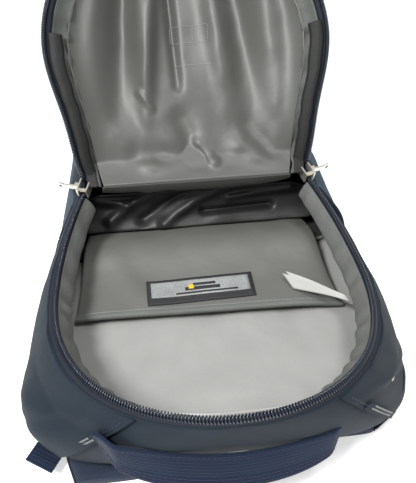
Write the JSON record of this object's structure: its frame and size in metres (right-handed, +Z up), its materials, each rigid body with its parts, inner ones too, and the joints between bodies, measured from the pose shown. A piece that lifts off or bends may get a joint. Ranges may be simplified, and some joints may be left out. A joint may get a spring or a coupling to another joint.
{
  "type": "solar backpack",
  "caption": "Fabric daypack lying on its back with its zipped front panel folded open on a padded laptop sleeve; a solar panel sits on the outside of the lid.",
  "frame": {"origin": "on the floor under the pads, below the middle of the lid fold line, with the bag lying on its back", "axes": "+Z up out of the mouth, +Y towards the bottom end of the bag, -Y towards the grab handle, +X to the right seen from the handle end"},
  "size_m": [0.336, 0.4823, 0.3349],
  "materials": {
    "navy_fabric": "woven polyester, slate navy",
    "navy_webbing": "ribbed nylon webbing",
    "pocket_fabric": "speckled stretch knit",
    "grey_lining": "coated taffeta, semi-gloss",
    "grey_binding": "grosgrain binding",
    "air_mesh": "spacer mesh over foam",
    "zip_coil": "nylon coil",
    "zip_tape": "woven zip tape",
    "zip_metal": "worn nickel",
    "black_plastic": "moulded acetal",
    "solar_cell": "dark blue silicon with silver fingers",
    "clear_cover": "clear laminate",
    "woven_label": "woven badge",
    "white_label": "satin tape"
  },
  "bodies": {
    "bag": {"back_panel": "navy_fabric", "spine_pad": "air_mesh", "lumbar_pad": "air_mesh", "back_pad_left": "air_mesh", "back_pad_right": "air_mesh", "side_upper_left": "navy_fabric", "side_upper_right": "navy_fabric", "side_lower_left": "navy_fabric", "side_lower_right": "navy_fabric", "top_gusset": "navy_fabric", "bottom_panel": "navy_fabric", "front_lower_panel": "navy_fabric", "main_lining": "grey_lining", "body_facing": "grey_lining", "body_zip_tape": "zip_tape", "body_zip_coil": "zip_coil", "zip_stops": "zip_metal", "side_pocket_left": "pocket_fabric", "side_pocket_right": "pocket_fabric", "pocket_hem_left": "grey_binding", "pocket_hem_right": "grey_binding", "handle_anchors": "navy_webbing", "strap_anchors": "navy_webbing", "web_anchors": "navy_webbing", "front_zip_tape": "zip_tape", "front_zip_coil": "zip_coil"},
    "lid": {"lid_front": "navy_fabric", "lid_gusset": "navy_fabric", "lid_lining": "grey_lining", "lid_facing": "grey_lining", "lid_zip_tape": "zip_tape", "lid_zip_coil": "zip_coil", "solar_backing": "black_plastic", "solar_cells": "solar_cell", "solar_cover": "clear_cover", "solar_bezel": "black_plastic", "solar_regulator": "black_plastic"},
    "sleeve": {"laptop_sleeve": "grey_lining", "sleeve_binding": "grey_binding", "woven_label": "woven_label", "care_label": "white_label"},
    "main_slider_left": {"slider_left": "zip_metal"},
    "main_slider_right": {"slider_right": "zip_metal"},
    "main_pull_left": {"pull_left": "zip_metal"},
    "main_pull_right": {"pull_right": "zip_metal"},
    "pocket_slider": {"front_slider": "zip_metal"},
    "pocket_pull": {"front_pull": "zip_metal"},
    "handle": {"grab_handle": "navy_webbing"},
    "shoulder_left": {"strap_left": "navy_fabric", "ladder_lock_left": "black_plastic", "web_left": "navy_webbing", "strap_tab_left": "navy_webbing"},
    "shoulder_right": {"strap_right": "navy_fabric", "ladder_lock_right": "black_plastic", "web_right": "navy_webbing", "strap_tab_right": "navy_webbing"}
  },
  "joints": [
    {"name": "lid_fold", "type": "hinge", "parent": "bag", "child": "lid", "pos_m": [0, 0, 0.114], "axis": [1, 0, 0], "range_deg": [0, 125]},
    {"name": "sleeve_open", "type": "hinge", "parent": "bag", "child": "sleeve", "pos_m": [0, 0.17, 0.038], "axis": [-1, 0, 0], "range_deg": [0, 7]},
    {"name": "main_zip_left", "type": "slide", "parent": "bag", "child": "main_slider_left", "axis": [-0.321, -0.9066, -0.274], "range_m": [0, 0.03]},
    {"name": "main_pull_left_swing", "type": "hinge", "parent": "main_slider_left", "child": "main_pull_left", "pos_m": [-0.11926, 0.00257, 0.114], "axis": [0.0914, 0.2582, -0.9617], "range_deg": [-70, 70]},
    {"name": "main_zip_right", "type": "slide", "parent": "bag", "child": "main_slider_right", "axis": [0.321, -0.9066, -0.274], "range_m": [0, 0.03]},
    {"name": "main_pull_right_swing", "type": "hinge", "parent": "main_slider_right", "child": "main_pull_right", "pos_m": [0.11926, 0.00257, 0.114], "axis": [0.0914, -0.2582, 0.9617], "range_deg": [-70, 70]},
    {"name": "pocket_zip", "type": "slide", "parent": "bag", "child": "pocket_slider", "axis": [1, 0, 0], "range_m": [0, 0.138]},
    {"name": "pocket_pull_swing", "type": "hinge", "parent": "pocket_slider", "child": "pocket_pull", "pos_m": [-0.069, 0.132, 0.1594], "axis": [0, 1, 0], "range_deg": [0, 170]},
    {"name": "handle_lift", "type": "hinge", "parent": "bag", "child": "handle", "pos_m": [0, -0.261, 0.064], "axis": [1, 0, 0], "range_deg": [-12, 8]},
    {"name": "shoulder_left_open", "type": "hinge", "parent": "bag", "child": "shoulder_left", "pos_m": [0, -0.225, 0.012], "axis": [-1, 0, 0], "range_deg": [0, 12]},
    {"name": "shoulder_right_open", "type": "hinge", "parent": "bag", "child": "shoulder_right", "pos_m": [0, -0.225, 0.012], "axis": [-1, 0, 0], "range_deg": [0, 12]}
  ]
}
